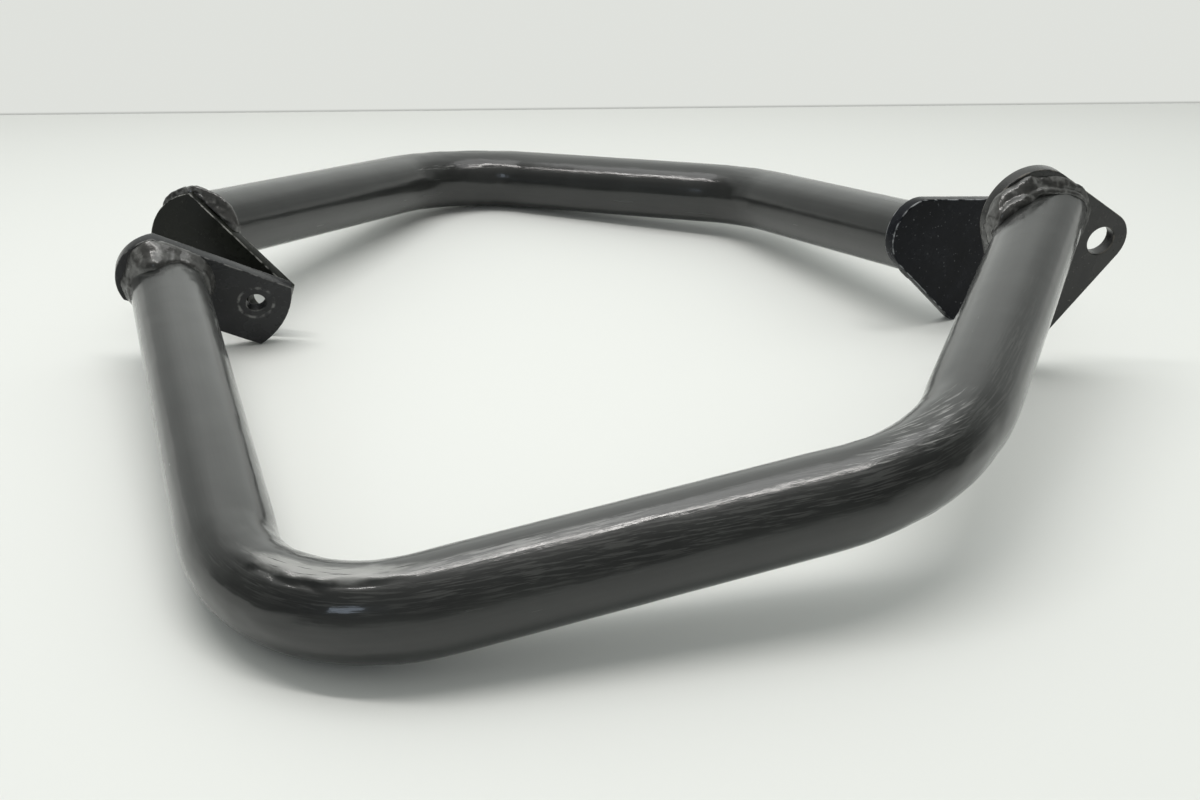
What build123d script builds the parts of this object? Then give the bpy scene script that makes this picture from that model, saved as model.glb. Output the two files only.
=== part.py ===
from build123d import *
from math import atan, degrees
import os

# A pair of motorcycle crash bars, off the machine and laid on a table, the tips of their strip plates together.
# Each bar is a bent round tube with a plate welded over each end: a flat strip on the left, a three-cornered
# plate on the right. Millimetres; +Z is up, +X to the right, +Y away from the viewer, and the origin is on
# the table under the middle of the pair.

# Round tube of both bars
TUBE_DIAMETER = 33.7
TUBE_WALL = 2.6

# Near bar, from the strip plate's end to the three-cornered plate's end: straight lengths, turns, bend radii
NEAR_STRIP_LEG = 204.6
NEAR_STRIP_TURN_ANGLE = 84.6
NEAR_STRIP_BEND_RADIUS = 60.3
NEAR_MIDDLE_RUN = 136.8
NEAR_CORNER_TURN_ANGLE = 50.0
NEAR_CORNER_BEND_RADIUS = 78.5
NEAR_CORNER_LEG = 146.3

# Far bar, in the same order
FAR_STRIP_LEG = 173.9
FAR_STRIP_TURN_ANGLE = 86.6
FAR_STRIP_BEND_RADIUS = 59.3
FAR_MIDDLE_RUN = 113.3
FAR_CORNER_TURN_ANGLE = 40.8
FAR_CORNER_BEND_RADIUS = 69.1
FAR_CORNER_LEG = 127.7

# Plates: stock and bolt holes
PLATE_THICKNESS = 6.0
STRIP_WIDTH = 35.0
STRIP_HOLE_DIAMETER = 9.0
CORNER_HOLE_DIAMETER = 13.0

# Strip plates, from the tube's axis: rise of the strip's middle line, the lip left behind the tube with the
# radius of that round-cut end, the reach of the round-cut end past the bolt hole, and the hole's place: its
# setback from that end and its lift above the middle line
STRIP_END_RADIUS = 37.3
NEAR_STRIP_RISE = 3.4
NEAR_STRIP_BACK_LIP = 7.55
NEAR_STRIP_BACK_RADIUS = 21.5
NEAR_STRIP_REACH = 55.2
NEAR_STRIP_HOLE_SETBACK = 16.1
NEAR_STRIP_HOLE_LIFT = 3.7
FAR_STRIP_RISE = -3.6
FAR_STRIP_BACK_LIP = 2.15
FAR_STRIP_BACK_RADIUS = 28.0
FAR_STRIP_REACH = 55.2
FAR_STRIP_HOLE_SETBACK = 12.2
FAR_STRIP_HOLE_LIFT = 0.0

# Three-cornered plates: corner centres across and up from the tube's axis, the lip left round the tube's corner,
# and the radii of the other corners
CORNER_FOOT_RADIUS = 1.5
NEAR_CORNER_TUBE_CENTRE = (-5.3, 3.9)
NEAR_CORNER_TUBE_LIP = 4.75
NEAR_CORNER_HOLE_CENTRE = (32.5, -11.2)
NEAR_CORNER_HOLE_RADIUS = 13.2
NEAR_CORNER_FOOT_CENTRE = (0.9, -71.9)
FAR_CORNER_TUBE_CENTRE = (-9.9, 6.1)
FAR_CORNER_TUBE_LIP = 0.55
FAR_CORNER_HOLE_CENTRE = (39.9, 3.1)
FAR_CORNER_HOLE_RADIUS = 12.7
FAR_CORNER_FOOT_CENTRE = (17.7, -41.7)

# How each plate sits on its tube's end, in degrees: swing about the bar's upright, nod, and roll in its own face
NEAR_STRIP_ANGLES = (-7.5, 6.6, -36.6)
NEAR_CORNER_ANGLES = (40.9, 0.3, -7.6)
FAR_STRIP_ANGLES = (10.8, 8.4, -43.8)
FAR_CORNER_ANGLES = (2.3, 7.7, 5.5)

# Weld beads round the tube ends, and the share that shapes their ovals
WELD_RADIUS = 4.5
OVAL_SHARE = 0.43

# How each bar lies on the table, in degrees: heading of the middle run, its climb to the right, lean of the bar
NEAR_LIE_ANGLES = (14.7, 7.55, 5.78)
FAR_LIE_ANGLES = (-21.1, 2.36, -8.94)

# The far strip plate beside the near one: sideways shift of its tip, and the clear gap between the two
TIP_SHIFT = -2.0
TIP_GAP = 1.0


def bend_bar(strip_leg, strip_turn, strip_radius, middle_run, corner_turn, corner_radius, corner_leg, side):
    """Centre line in the bar's own plane, the middle run along X, and the two legs as (bend's end, direction).
    The legs go to +Y with side 1 and to -Y with side -1, and run on past the plates to be cut there."""
    strip_start = Vector(-middle_run / 2, 0)
    corner_start = Vector(middle_run / 2, 0)
    strip_bend = JernArc(strip_start, (-1, 0), strip_radius, -side * strip_turn)
    corner_bend = JernArc(corner_start, (1, 0), corner_radius, side * corner_turn)
    strip_line = Line(strip_bend @ 1, (strip_bend @ 1) + (strip_bend % 1) * (strip_leg + TUBE_DIAMETER))
    corner_line = Line(corner_bend @ 1, (corner_bend @ 1) + (corner_bend % 1) * (corner_leg + TUBE_DIAMETER))
    path = Wire([strip_line, strip_bend, Line(strip_start, corner_start), corner_bend, corner_line])
    return path, (strip_bend @ 1, strip_bend % 1), (corner_bend @ 1, corner_bend % 1)


def plate_seat(leg, length, angles, side):
    """Where the welded face of a plate crosses the tube's axis: X across the leg, Y up, Z to the viewer."""
    bend_end, direction = leg
    facing = direction * -side
    square = Plane(bend_end + direction * length, x_dir=Vector(0, 0, 1).cross(facing), z_dir=facing)
    swing, nod, roll = angles
    return square.location * Rot(Y=swing) * Rot(X=nod) * Rot(Z=roll)


def strip_outline(rise, back_lip, back_radius, reach, setback, lift):
    """Flat bar cut round behind the tube and round again past its bolt hole, drawn from the tube's axis."""
    back = TUBE_DIAMETER / 2 + back_lip
    long = 2 * (reach + back)
    flat = Rectangle(long, STRIP_WIDTH)
    back_end = Circle(back_radius) + Rectangle(long, long, align=(Align.MIN, Align.CENTER))
    hole_end = Circle(STRIP_END_RADIUS) + Rectangle(long, long, align=(Align.MAX, Align.CENTER))
    strip = flat & Pos(back_radius - back) * back_end & Pos(reach - STRIP_END_RADIUS) * hole_end
    hole = Pos(reach - setback, lift) * Circle(STRIP_HOLE_DIAMETER / 2)
    return Pos(0, rise) * (strip - hole)


def strip_tip(seat, rise, reach):
    """Upper corner of the strip's free end, on its welded face."""
    corner = reach - STRIP_END_RADIUS + (STRIP_END_RADIUS**2 - (STRIP_WIDTH / 2) ** 2) ** 0.5
    return (seat * Pos(corner, rise + STRIP_WIDTH / 2)).position


def corner_outline(tube_centre, tube_lip, hole_centre, hole_radius, foot_centre):
    """Three round corners joined by straight cuts, with the bolt hole in the middle of the second."""
    corners = [
        Pos(*tube_centre) * Circle(TUBE_DIAMETER / 2 + tube_lip),
        Pos(*hole_centre) * Circle(hole_radius),
        Pos(*foot_centre) * Circle(CORNER_FOOT_RADIUS),
    ]
    outline = make_hull([corner.edge() for corner in corners])
    return outline - Pos(*hole_centre) * Circle(CORNER_HOLE_DIAMETER / 2)


def weld_bead(rod, plate, seat, axis):
    """Round bead along the corner between the tube's end and the plate, wrapping any edge that the tube overhangs.
    The corner is an oval of five tangent arcs, as long as the tube's slanted cut and as wide as the tube."""
    normal = Plane(seat).z_dir
    width = TUBE_DIAMETER / 2
    length = width / abs(axis.dot(normal))
    end_radius = width - OVAL_SHARE * (length - width)
    side_radius = length + (length - width) / (2 * OVAL_SHARE)
    end_turn = degrees(atan((1 + 1 / (2 * OVAL_SHARE)) / (1 + OVAL_SHARE)))
    arcs = [JernArc((length, 0), (0, 1), end_radius, end_turn)]
    for radius, turn in [
        (side_radius, 180 - 2 * end_turn),
        (end_radius, 2 * end_turn),
        (side_radius, 180 - 2 * end_turn),
        (end_radius, end_turn),
    ]:
        arcs.append(JernArc(arcs[-1] @ 1, arcs[-1] % 1, radius, turn))
    corner = Plane(seat.position, x_dir=axis - normal * axis.dot(normal), z_dir=normal) * Wire(arcs)
    bead = sweep(Plane(corner @ 0, z_dir=corner % 0) * Circle(WELD_RADIUS), path=corner)
    return bead - (rod + plate)


def make_bar(path, side, strip_axis, strip_seat, strip_face, corner_axis, corner_seat, corner_face):
    """Tube, two plates and two beads of one bar, in the bar's own plane."""
    start = Plane(path @ 0, z_dir=path % 0)
    rod = sweep(start * Circle(TUBE_DIAMETER / 2), path=path)
    bore = sweep(start * Circle(TUBE_DIAMETER / 2 - TUBE_WALL), path=path)
    waste = extrude(Rectangle(3 * TUBE_DIAMETER, 3 * TUBE_DIAMETER), amount=-side * 3 * TUBE_DIAMETER)
    rod = (rod - strip_seat * waste) - corner_seat * waste
    strip_plate = strip_seat * extrude(strip_face, amount=-side * PLATE_THICKNESS)
    corner_plate = corner_seat * extrude(corner_face, amount=-side * PLATE_THICKNESS)
    return {
        "tube": rod - bore,
        "strip_plate": strip_plate,
        "triangle_plate": corner_plate,
        "strip_weld": weld_bead(rod, strip_plate, strip_seat, strip_axis),
        "triangle_weld": weld_bead(rod, corner_plate, corner_seat, corner_axis),
    }


def lay_down(pieces, lie):
    """Turn a bar the way it lies and let it down until its lowest point is on the table."""
    heading, climb, lean = lie
    turned = Rot(Z=heading) * Rot(Y=-climb) * Rot(X=lean)
    lowest = min((turned * piece).bounding_box().min.Z for piece in pieces.values())
    return Pos(0, 0, -lowest) * turned


# Near bar: its plates stand behind the tube's ends, away from the viewer
near_path, near_strip_end, near_corner_end = bend_bar(
    NEAR_STRIP_LEG, NEAR_STRIP_TURN_ANGLE, NEAR_STRIP_BEND_RADIUS, NEAR_MIDDLE_RUN,
    NEAR_CORNER_TURN_ANGLE, NEAR_CORNER_BEND_RADIUS, NEAR_CORNER_LEG, 1,
)
near_strip_seat = plate_seat(near_strip_end, NEAR_STRIP_LEG, NEAR_STRIP_ANGLES, 1)
near_corner_seat = plate_seat(near_corner_end, NEAR_CORNER_LEG, NEAR_CORNER_ANGLES, 1)
near_strip_face = strip_outline(
    NEAR_STRIP_RISE, NEAR_STRIP_BACK_LIP, NEAR_STRIP_BACK_RADIUS, NEAR_STRIP_REACH,
    NEAR_STRIP_HOLE_SETBACK, NEAR_STRIP_HOLE_LIFT,
)
near_corner_face = corner_outline(
    NEAR_CORNER_TUBE_CENTRE, NEAR_CORNER_TUBE_LIP, NEAR_CORNER_HOLE_CENTRE,
    NEAR_CORNER_HOLE_RADIUS, NEAR_CORNER_FOOT_CENTRE,
)
near_bar = make_bar(
    near_path, 1, near_strip_end[1], near_strip_seat, near_strip_face,
    near_corner_end[1], near_corner_seat, near_corner_face,
)

# Far bar: bent the other way, its plates stand in front of the tube's ends
far_path, far_strip_end, far_corner_end = bend_bar(
    FAR_STRIP_LEG, FAR_STRIP_TURN_ANGLE, FAR_STRIP_BEND_RADIUS, FAR_MIDDLE_RUN,
    FAR_CORNER_TURN_ANGLE, FAR_CORNER_BEND_RADIUS, FAR_CORNER_LEG, -1,
)
far_strip_seat = plate_seat(far_strip_end, FAR_STRIP_LEG, FAR_STRIP_ANGLES, -1)
far_corner_seat = plate_seat(far_corner_end, FAR_CORNER_LEG, FAR_CORNER_ANGLES, -1)
far_strip_face = strip_outline(
    FAR_STRIP_RISE, FAR_STRIP_BACK_LIP, FAR_STRIP_BACK_RADIUS, FAR_STRIP_REACH,
    FAR_STRIP_HOLE_SETBACK, FAR_STRIP_HOLE_LIFT,
)
far_corner_face = corner_outline(
    FAR_CORNER_TUBE_CENTRE, FAR_CORNER_TUBE_LIP, FAR_CORNER_HOLE_CENTRE,
    FAR_CORNER_HOLE_RADIUS, FAR_CORNER_FOOT_CENTRE,
)
far_bar = make_bar(
    far_path, -1, far_strip_end[1], far_strip_seat, far_strip_face,
    far_corner_end[1], far_corner_seat, far_corner_face,
)

# Both bars on the table, the far strip plate just clear behind the near one
near_place = lay_down(near_bar, NEAR_LIE_ANGLES)
far_place = lay_down(far_bar, FAR_LIE_ANGLES)
near_tip = strip_tip(near_place * near_strip_seat, NEAR_STRIP_RISE, NEAR_STRIP_REACH)
far_tip = strip_tip(far_place * far_strip_seat, FAR_STRIP_RISE, FAR_STRIP_REACH)
near_back = (near_place * near_bar["strip_plate"]).bounding_box().max.Y
far_front = (far_place * far_bar["strip_plate"]).bounding_box().min.Y
far_place = Pos(near_tip.X - far_tip.X + TIP_SHIFT, near_back - far_front + TIP_GAP, 0) * far_place

pieces = {f"near_{name}": near_place * piece for name, piece in near_bar.items()}
pieces |= {f"far_{name}": far_place * piece for name, piece in far_bar.items()}

# Origin under the middle of the pair
box = Compound(children=[solid for piece in pieces.values() for solid in piece.solids()]).bounding_box()
centring = Pos(-box.center().X, -box.center().Y, -box.min.Z)

os.makedirs("parts", exist_ok=True)
for name, piece in pieces.items():
    export_step(centring * piece, f"parts/{name}.step")
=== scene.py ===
from math import atan2, cos, hypot, pi, radians, sin, sqrt, tan

import bpy
from mathutils import Matrix, Vector


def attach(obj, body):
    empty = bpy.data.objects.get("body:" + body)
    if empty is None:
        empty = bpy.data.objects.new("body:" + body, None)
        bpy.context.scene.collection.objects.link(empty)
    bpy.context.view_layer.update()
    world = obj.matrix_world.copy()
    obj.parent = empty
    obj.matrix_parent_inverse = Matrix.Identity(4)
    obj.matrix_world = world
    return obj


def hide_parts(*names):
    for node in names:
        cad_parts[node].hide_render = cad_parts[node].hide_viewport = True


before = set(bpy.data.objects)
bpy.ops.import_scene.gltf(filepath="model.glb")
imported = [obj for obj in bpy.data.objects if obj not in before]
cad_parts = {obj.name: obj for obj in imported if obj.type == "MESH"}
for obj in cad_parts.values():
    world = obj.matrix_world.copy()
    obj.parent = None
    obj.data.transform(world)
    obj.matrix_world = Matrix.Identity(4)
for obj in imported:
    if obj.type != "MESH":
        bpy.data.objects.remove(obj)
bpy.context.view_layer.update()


# Near tube: one length of round steel tube, cold bent twice in one plane, which left the bends a little flat and
# creased. Its two ends are cut slanting to lie flat on the plates, and it was brushed black after welding.
TUBE_RADIUS = 0.0337 / 2
near_tube = dict(strip_leg=0.2046, strip_turn=84.6, strip_radius=0.0603, middle_run=0.1368,
                 corner_turn=50.0, corner_radius=0.0785, corner_leg=0.1463)
near_strip_angles = dict(swing=-7.5, nod=6.6, roll=-36.6)
near_corner_angles = dict(swing=40.9, nod=0.3, roll=-7.6)
near_middle = (0.006638, -0.211414, 0.029776)
near_lie = dict(heading=14.7, climb=7.55, lean=5.78)


def turned(x=0.0, y=0.0, z=0.0):
    """Turn about one axis, in degrees."""
    return (Matrix.Rotation(radians(x), 4, "X") @ Matrix.Rotation(radians(y), 4, "Y")
            @ Matrix.Rotation(radians(z), 4, "Z"))


def lay_bar(middle, heading, climb, lean):
    """Place of a bar on the table: the middle of its middle run, and how it lies there."""
    return Matrix.Translation(middle) @ turned(z=heading) @ turned(y=-climb) @ turned(x=lean)


def bar_axis(side, strip_leg, strip_turn, strip_radius, middle_run, corner_turn, corner_radius, corner_leg):
    """Four points of the tube's axis in the bar's own plane, with sharp corners where the bends are."""
    strip_back = strip_radius * tan(radians(strip_turn) / 2)
    corner_back = corner_radius * tan(radians(corner_turn) / 2)
    strip_way = Vector((-cos(radians(strip_turn)), side * sin(radians(strip_turn)), 0))
    corner_way = Vector((cos(radians(corner_turn)), side * sin(radians(corner_turn)), 0))
    strip_corner = Vector((-middle_run / 2 - strip_back, 0, 0))
    corner_corner = Vector((middle_run / 2 + corner_back, 0, 0))
    return [strip_corner + strip_way * (strip_back + strip_leg), strip_corner,
            corner_corner, corner_corner + corner_way * (corner_back + corner_leg)]


def plate_seat(end, corner, side, swing, nod, roll):
    """Where a plate's welded face crosses the tube's axis: X across the leg, Y up, Z to the viewer."""
    facing = (end - corner).normalized() * -side
    across = Vector((0, 0, 1)).cross(facing)
    square = Matrix((across, Vector((0, 0, 1)), facing)).transposed().to_4x4()
    square.translation = end
    return square @ turned(y=swing) @ turned(x=nod) @ turned(z=roll)


def add(tree, kind, values=(), **settings):
    """One node with its settings. Its inputs, by place or by name, are values or other nodes' outputs."""
    made = tree.nodes.new(kind)
    for name, setting in settings.items():
        setattr(made, name, setting)
    for place, value in values.items() if isinstance(values, dict) else enumerate(values):
        if isinstance(value, bpy.types.NodeSocket):
            tree.links.new(value, made.inputs[place])
        elif value is not None:
            made.inputs[place].default_value = value
    return made


def number(tree, operation, *values):
    """Output of one Math node."""
    return add(tree, "ShaderNodeMath", values, operation=operation).outputs[0]


def vector(tree, operation, *values):
    """Output of one Vector Math node, a number where the operation gives one."""
    places = {0: values[0], "Scale": values[1]} if operation == "SCALE" else values
    made = add(tree, "ShaderNodeVectorMath", places, operation=operation)
    return made.outputs["Value" if operation in ("DOT_PRODUCT", "LENGTH", "DISTANCE") else "Vector"]


def ramp(tree, value, low, high, to_low=0.0, to_high=1.0):
    """Value eased from one range into another."""
    eased = add(tree, "ShaderNodeMapRange", (value, low, high, to_low, to_high), interpolation_type="SMOOTHSTEP")
    return eased.outputs[0]


def noise(tree, places, scale, detail, roughness=0.5, seed=None):
    """Output of one Noise Texture node, with a fourth dimension where it has a seed."""
    values = {"Vector": places, "W": seed, "Scale": scale, "Detail": detail, "Roughness": roughness}
    return add(tree, "ShaderNodeTexNoise", values, noise_dimensions="3D" if seed is None else "4D").outputs[0]


def new_group(name, kind, inputs, outputs):
    """Empty node group with named sockets, its inputs given as (name, type, value)."""
    tree = bpy.data.node_groups.new(name, kind)
    for label, socket, value in inputs:
        made = tree.interface.new_socket(name=label, in_out="INPUT", socket_type="NodeSocket" + socket)
        if value is not None:
            made.default_value = value
    for label, socket in outputs:
        tree.interface.new_socket(name=label, in_out="OUTPUT", socket_type="NodeSocket" + socket)
    return tree, tree.nodes.new("NodeGroupInput").outputs, tree.nodes.new("NodeGroupOutput").inputs


def grow(name, tree, base, **sizes):
    """Runs a geometry tree on a base mesh with its named sizes, and keeps the result as a plain mesh."""
    piece = bpy.data.objects.new(name, base)
    bpy.context.scene.collection.objects.link(piece)
    modifier = piece.modifiers.new(tree.name, "NODES")
    modifier.node_group = tree
    for socket in tree.interface.items_tree:
        label = socket.name.replace(" ", "_").lower()
        if socket.in_out == "INPUT" and label in sizes:
            modifier[socket.identifier] = sizes[label]
    graph = bpy.context.evaluated_depsgraph_get()
    mesh = bpy.data.meshes.new_from_object(piece.evaluated_get(graph), preserve_all_data_layers=True,
                                           depsgraph=graph)
    piece.modifiers.clear()
    piece.data = mesh
    return piece


# Tree that bends a tube: fillets the corners of its axis, flattens the bends, dents and creases them, and slants
# both ends down to their plates. It also keeps each point's place on the straight, unbent tube, for the paint.
axis_step = 0.0015
bend_steps = 24
round_steps = 96
bent_tube, given, made = new_group(
    "Bent tube", "GeometryNodeTree",
    [("Geometry", "Geometry", None), ("Material", "Material", None), ("Radius", "Float", TUBE_RADIUS),
     ("Side", "Float", 1.0), ("Plane normal", "Vector", (0, 0, 1)),
     ("Strip leg", "Float", 0.2), ("Strip bend", "Float", 0.09), ("Strip radius", "Float", 0.06),
     ("Corner leg", "Float", 0.15), ("Corner bend", "Float", 0.07), ("Corner radius", "Float", 0.08),
     ("Strip seat", "Vector", (0, 0, 0)), ("Strip facing", "Vector", (0, 1, 0)),
     ("Corner seat", "Vector", (0, 0, 0)), ("Corner facing", "Vector", (0, 1, 0)),
     ("Outer flat", "Float", 0.1), ("Inner flat", "Float", 0.05), ("Crease", "Float", 0.0003),
     ("Waves", "Float", 0.0001), ("Fold", "Float", 0.0), ("Seed", "Float", 0.0)],
    [("Geometry", "Geometry")])
t = bent_tube
index = add(t, "GeometryNodeInputIndex").outputs[0]
first = add(t, "FunctionNodeCompare", {"A": index, "B": 1.5}, data_type="FLOAT", operation="LESS_THAN")
bend_radius = add(t, "GeometryNodeSwitch",
                  {"Switch": first.outputs[0], "False": given["Corner radius"], "True": given["Strip radius"]},
                  input_type="FLOAT").outputs[0]
axis = add(t, "GeometryNodeMeshToCurve", (given["Geometry"],)).outputs[0]
axis = add(t, "GeometryNodeFilletCurve", {"Curve": axis, "Count": bend_steps, "Radius": bend_radius},
           mode="POLY").outputs[0]
axis = add(t, "GeometryNodeResampleCurve", {"Curve": axis, "Length": axis_step}, mode="LENGTH").outputs[0]
keep = add(t, "GeometryNodeCaptureAttribute", {"Geometry": axis}, domain="POINT")
for label, kind in (("Centre", "VECTOR"), ("Way", "VECTOR"), ("Along", "FLOAT")):
    keep.capture_items.new(kind, label)
t.links.new(add(t, "GeometryNodeInputPosition").outputs[0], keep.inputs["Centre"])
t.links.new(add(t, "GeometryNodeInputTangent").outputs[0], keep.inputs["Way"])
t.links.new(add(t, "GeometryNodeSplineParameter").outputs["Length"], keep.inputs["Along"])
axis, centre, way, along = (keep.outputs[place] for place in (0, "Centre", "Way", "Along"))
section = add(t, "GeometryNodeCurvePrimitiveCircle", {"Resolution": round_steps, "Radius": given["Radius"]})
tube = add(t, "GeometryNodeCurveToMesh",
           {"Curve": axis, "Profile Curve": section.outputs[0], "Fill Caps": True}).outputs[0]

whole = add(t, "GeometryNodeAttributeStatistic", {"Geometry": axis, "Attribute": along},
            data_type="FLOAT").outputs["Max"]
place = add(t, "GeometryNodeInputPosition").outputs[0]
arm = vector(t, "SUBTRACT", place, centre)
outward = vector(t, "SCALE", vector(t, "CROSS_PRODUCT", way, given["Plane normal"]), given["Side"])
out = vector(t, "DOT_PRODUCT", arm, outward)
up = vector(t, "DOT_PRODUCT", arm, given["Plane normal"])
strip_bend_end = number(t, "ADD", given["Strip leg"], given["Strip bend"])
corner_bend_end = number(t, "SUBTRACT", whole, given["Corner leg"])
corner_bend_start = number(t, "SUBTRACT", corner_bend_end, given["Corner bend"])


def bend_share(start, end, run_in):
    """1 in the middle of a bend, easing to 0 a little outside its two ends."""
    rise = ramp(t, along, number(t, "SUBTRACT", start, run_in), number(t, "ADD", start, run_in * 2))
    fall = ramp(t, along, number(t, "SUBTRACT", end, run_in * 2), number(t, "ADD", end, run_in), 1.0, 0.0)
    return number(t, "MULTIPLY", rise, fall)


bent = number(t, "ADD", bend_share(given["Strip leg"], strip_bend_end, run_in=0.012),
              bend_share(corner_bend_start, corner_bend_end, run_in=0.010))
is_outer = number(t, "GREATER_THAN", out, 0.0)
flat = add(t, "ShaderNodeMix", {"Factor": is_outer, "A": given["Inner flat"], "B": given["Outer flat"]})
flat = number(t, "MULTIPLY", flat.outputs[0], bent)
flat = number(t, "MULTIPLY", number(t, "MULTIPLY", out, -1.0), flat)
moved = vector(t, "SCALE", outward, flat)
unbent = add(t, "ShaderNodeCombineXYZ", (along, out, up)).outputs[0]
creases = noise(t, vector(t, "MULTIPLY", unbent, (60.0, 130.0, 130.0)), 1.0, 2.0, seed=given["Seed"])
creases = number(t, "MULTIPLY", number(t, "SUBTRACT", creases, 0.62),
                 number(t, "MULTIPLY", given["Crease"], bent))
waves = noise(t, vector(t, "MULTIPLY", unbent, (35.0, 150.0, 150.0)), 1.0, 1.0, seed=given["Seed"])
waves = number(t, "MULTIPLY", number(t, "SUBTRACT", waves, 0.5), given["Waves"])

# The fold pressed into the top of the first bend: a flat that lies a little high, with a ragged step below it
fold_angle = 1.25
fold_ragged = 0.9
fold_share = 0.62
angle = number(t, "ARCTAN2", up, out)
ragged = noise(t, unbent, 75.0, 3.0)
rim = number(t, "MULTIPLY_ADD", number(t, "SUBTRACT", ragged, 0.5), fold_ragged, fold_angle)
above = number(t, "SUBTRACT", angle, rim)
step = number(t, "MULTIPLY", ramp(t, above, -0.05, 0.05), ramp(t, above, 0.15, 0.8, 1.0, 0.0))
groove = number(t, "MULTIPLY", ramp(t, above, -0.16, -0.05), ramp(t, above, -0.05, 0.0, 1.0, 0.0))
fold_middle = number(t, "MULTIPLY_ADD", given["Strip bend"], fold_share, given["Strip leg"])
by_fold = ramp(t, number(t, "ABSOLUTE", number(t, "SUBTRACT", along, fold_middle)), 0.012, 0.034, 1.0, 0.0)
fold = number(t, "MULTIPLY", number(t, "MULTIPLY_ADD", groove, -0.7, step),
              number(t, "MULTIPLY", by_fold, given["Fold"]))
lift = number(t, "ADD", number(t, "ADD", creases, waves), fold)
moved = vector(t, "ADD", moved, vector(t, "SCALE", vector(t, "NORMALIZE", arm), lift))


def slant(seat, facing, to_end, leg):
    """Way to move a point of a leg along the tube, so that the end ring lies in the plate's face."""
    end = vector(t, "ADD", place, vector(t, "SCALE", way, to_end))
    short = vector(t, "DOT_PRODUCT", vector(t, "SUBTRACT", seat, end), facing)
    short = number(t, "DIVIDE", short, vector(t, "DOT_PRODUCT", way, facing))
    share = number(t, "SUBTRACT", 1.0, number(t, "DIVIDE", number(t, "ABSOLUTE", to_end), leg))
    return vector(t, "SCALE", way, number(t, "MULTIPLY", short, number(t, "MAXIMUM", share, 0.0)))


moved = vector(t, "ADD", moved, slant(given["Strip seat"], given["Strip facing"],
                                      number(t, "MULTIPLY", along, -1.0), given["Strip leg"]))
moved = vector(t, "ADD", moved, slant(given["Corner seat"], given["Corner facing"],
                                      number(t, "SUBTRACT", whole, along), given["Corner leg"]))
tube = add(t, "GeometryNodeStoreNamedAttribute", {"Geometry": tube, "Name": "unbent", "Value": unbent},
           data_type="FLOAT_VECTOR", domain="POINT").outputs[0]
tube = add(t, "GeometryNodeSetPosition", {"Geometry": tube, "Offset": moved}).outputs[0]
tube = add(t, "GeometryNodeSetShadeSmooth", {"Geometry": tube}).outputs[0]
tube = add(t, "GeometryNodeRealizeInstances", (tube,)).outputs[0]
tube = add(t, "GeometryNodeSetMaterial", {"Geometry": tube, "Material": given["Material"]}).outputs[0]
t.links.new(tube, made["Geometry"])

# Paint that was brushed on and rubbed since: colour, roughness and height from streaks along the brush's way,
# soft lumps and a fine grain. Where it is rubbed the bare colour shows, and it is dull. The same pale colour and
# dullness also carry the painted highlights laid on the near tube and the painted light on the welds.
brushed, given, made = new_group(
    "Brushed paint", "ShaderNodeTree",
    [("Vector", "Vector", None), ("Brush", "Vector", (12.0, 420.0, 420.0)),
     ("Gloss", "Float", 0.1), ("Rubbed", "Float", 0.0),
     ("Dark", "Color", (0.0042, 0.0048, 0.0045, 1)), ("Pale", "Color", (0.0105, 0.0120, 0.0108, 1)),
     ("Bare", "Color", (0.3, 0.3, 0.29, 1))],
    [("Color", "Color"), ("Roughness", "Float"), ("Height", "Float")])
t = brushed
streaks = noise(t, vector(t, "MULTIPLY", given["Vector"], given["Brush"]), 1.0, 5.0, roughness=0.6)
lumps = noise(t, given["Vector"], 55.0, 3.0)
grain = noise(t, given["Vector"], 1100.0, 2.0)
shade = ramp(t, number(t, "MULTIPLY", number(t, "ADD", lumps, streaks), 0.5), 0.3, 0.75)
black = add(t, "ShaderNodeMix", {0: shade, 6: given["Dark"], 7: given["Pale"]}, data_type="RGBA").outputs[2]
wear_and_highlight_mask = add(t, "ShaderNodeMix", {0: given["Rubbed"], 6: black, 7: given["Bare"]}, data_type="RGBA").outputs[2]
t.links.new(wear_and_highlight_mask, made["Color"])
rough = number(t, "MULTIPLY_ADD", ramp(t, streaks, 0.48, 0.75), 0.16, given["Gloss"])
rough = number(t, "MULTIPLY_ADD", ramp(t, lumps, 0.4, 0.7), 0.07, rough)
t.links.new(number(t, "MULTIPLY_ADD", given["Rubbed"], 0.3, rough), made["Roughness"])
height = number(t, "MULTIPLY_ADD", streaks, 0.16, number(t, "MULTIPLY", lumps, 0.6))
t.links.new(number(t, "MULTIPLY_ADD", grain, 0.03, height), made["Height"])

# Scuffed place on a tube, found along the tube and round it, ragged at its rim and broken into scratches. On the
# near tube the same mask also lays painted highlights where the long lamp's streak lies.
wear_and_highlight_patch, given, made = new_group(
    "Scuff", "ShaderNodeTree",
    [("Unbent", "Vector", None), ("Along", "Float", 0.0), ("Reach", "Float", 0.03), ("Angle", "Float", 0.0),
     ("Spread", "Float", 0.3), ("Broken", "Float", 0.5), ("Slope", "Float", 0.0)],
    [("Mask", "Float")])
t = wear_and_highlight_patch
part = add(t, "ShaderNodeSeparateXYZ", (given["Unbent"],)).outputs
angle = number(t, "ARCTAN2", part[2], part[1])
off_along = number(t, "DIVIDE", number(t, "SUBTRACT", part[0], given["Along"]), given["Reach"])
off_round = number(t, "DIVIDE", number(t, "SUBTRACT", angle, given["Angle"]), given["Spread"])
ragged = noise(t, vector(t, "MULTIPLY", given["Unbent"], (60.0, 180.0, 180.0)), 1.0, 4.0)
far_off = vector(t, "LENGTH", add(t, "ShaderNodeCombineXYZ", (off_along, off_round, 0.0)).outputs[0])
far_off = number(t, "MULTIPLY_ADD", number(t, "SUBTRACT", ragged, 0.5), 1.1, far_off)
inside = ramp(t, far_off, 0.35, 1.0, 1.0, 0.0)
flat = add(t, "ShaderNodeCombineXYZ", (part[0], number(t, "MULTIPLY", angle, TUBE_RADIUS), 0.0)).outputs[0]
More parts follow.
